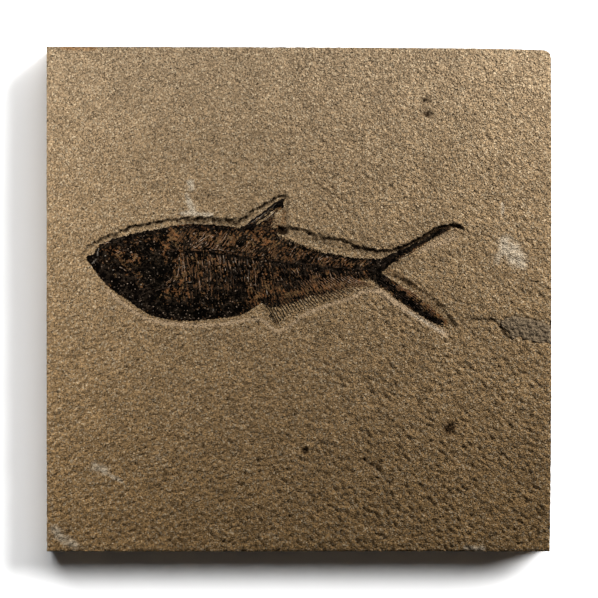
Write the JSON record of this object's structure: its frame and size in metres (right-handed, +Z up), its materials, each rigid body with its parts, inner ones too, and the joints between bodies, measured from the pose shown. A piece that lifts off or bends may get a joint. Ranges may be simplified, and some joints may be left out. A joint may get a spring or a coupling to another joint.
{
  "type": "fossil fish slab",
  "caption": "Square tile of pale brown sandy stone with a fossil herring lying in a shallow trough in its face, and a scrap of a second fossil at one edge.",
  "frame": {"origin": "middle of the tile's underside, on the surface it lies on", "axes": "+X towards the fish's tail, +Y towards the fish's back, +Z up, out of the face that carries the fish"},
  "size_m": [0.15, 0.15, 0.012],
  "materials": {
    "slab": "rough sandy grain, matt",
    "fish": "carbon-dark mineralised bone and scales, slightly glossy",
    "fossil_scrap": "greyish brown mineralised lumps, matt"
  },
  "bodies": {
    "root": {"slab": "slab", "fish": "fish", "fossil_scrap": "fossil_scrap"}
  },
  "joints": []
}
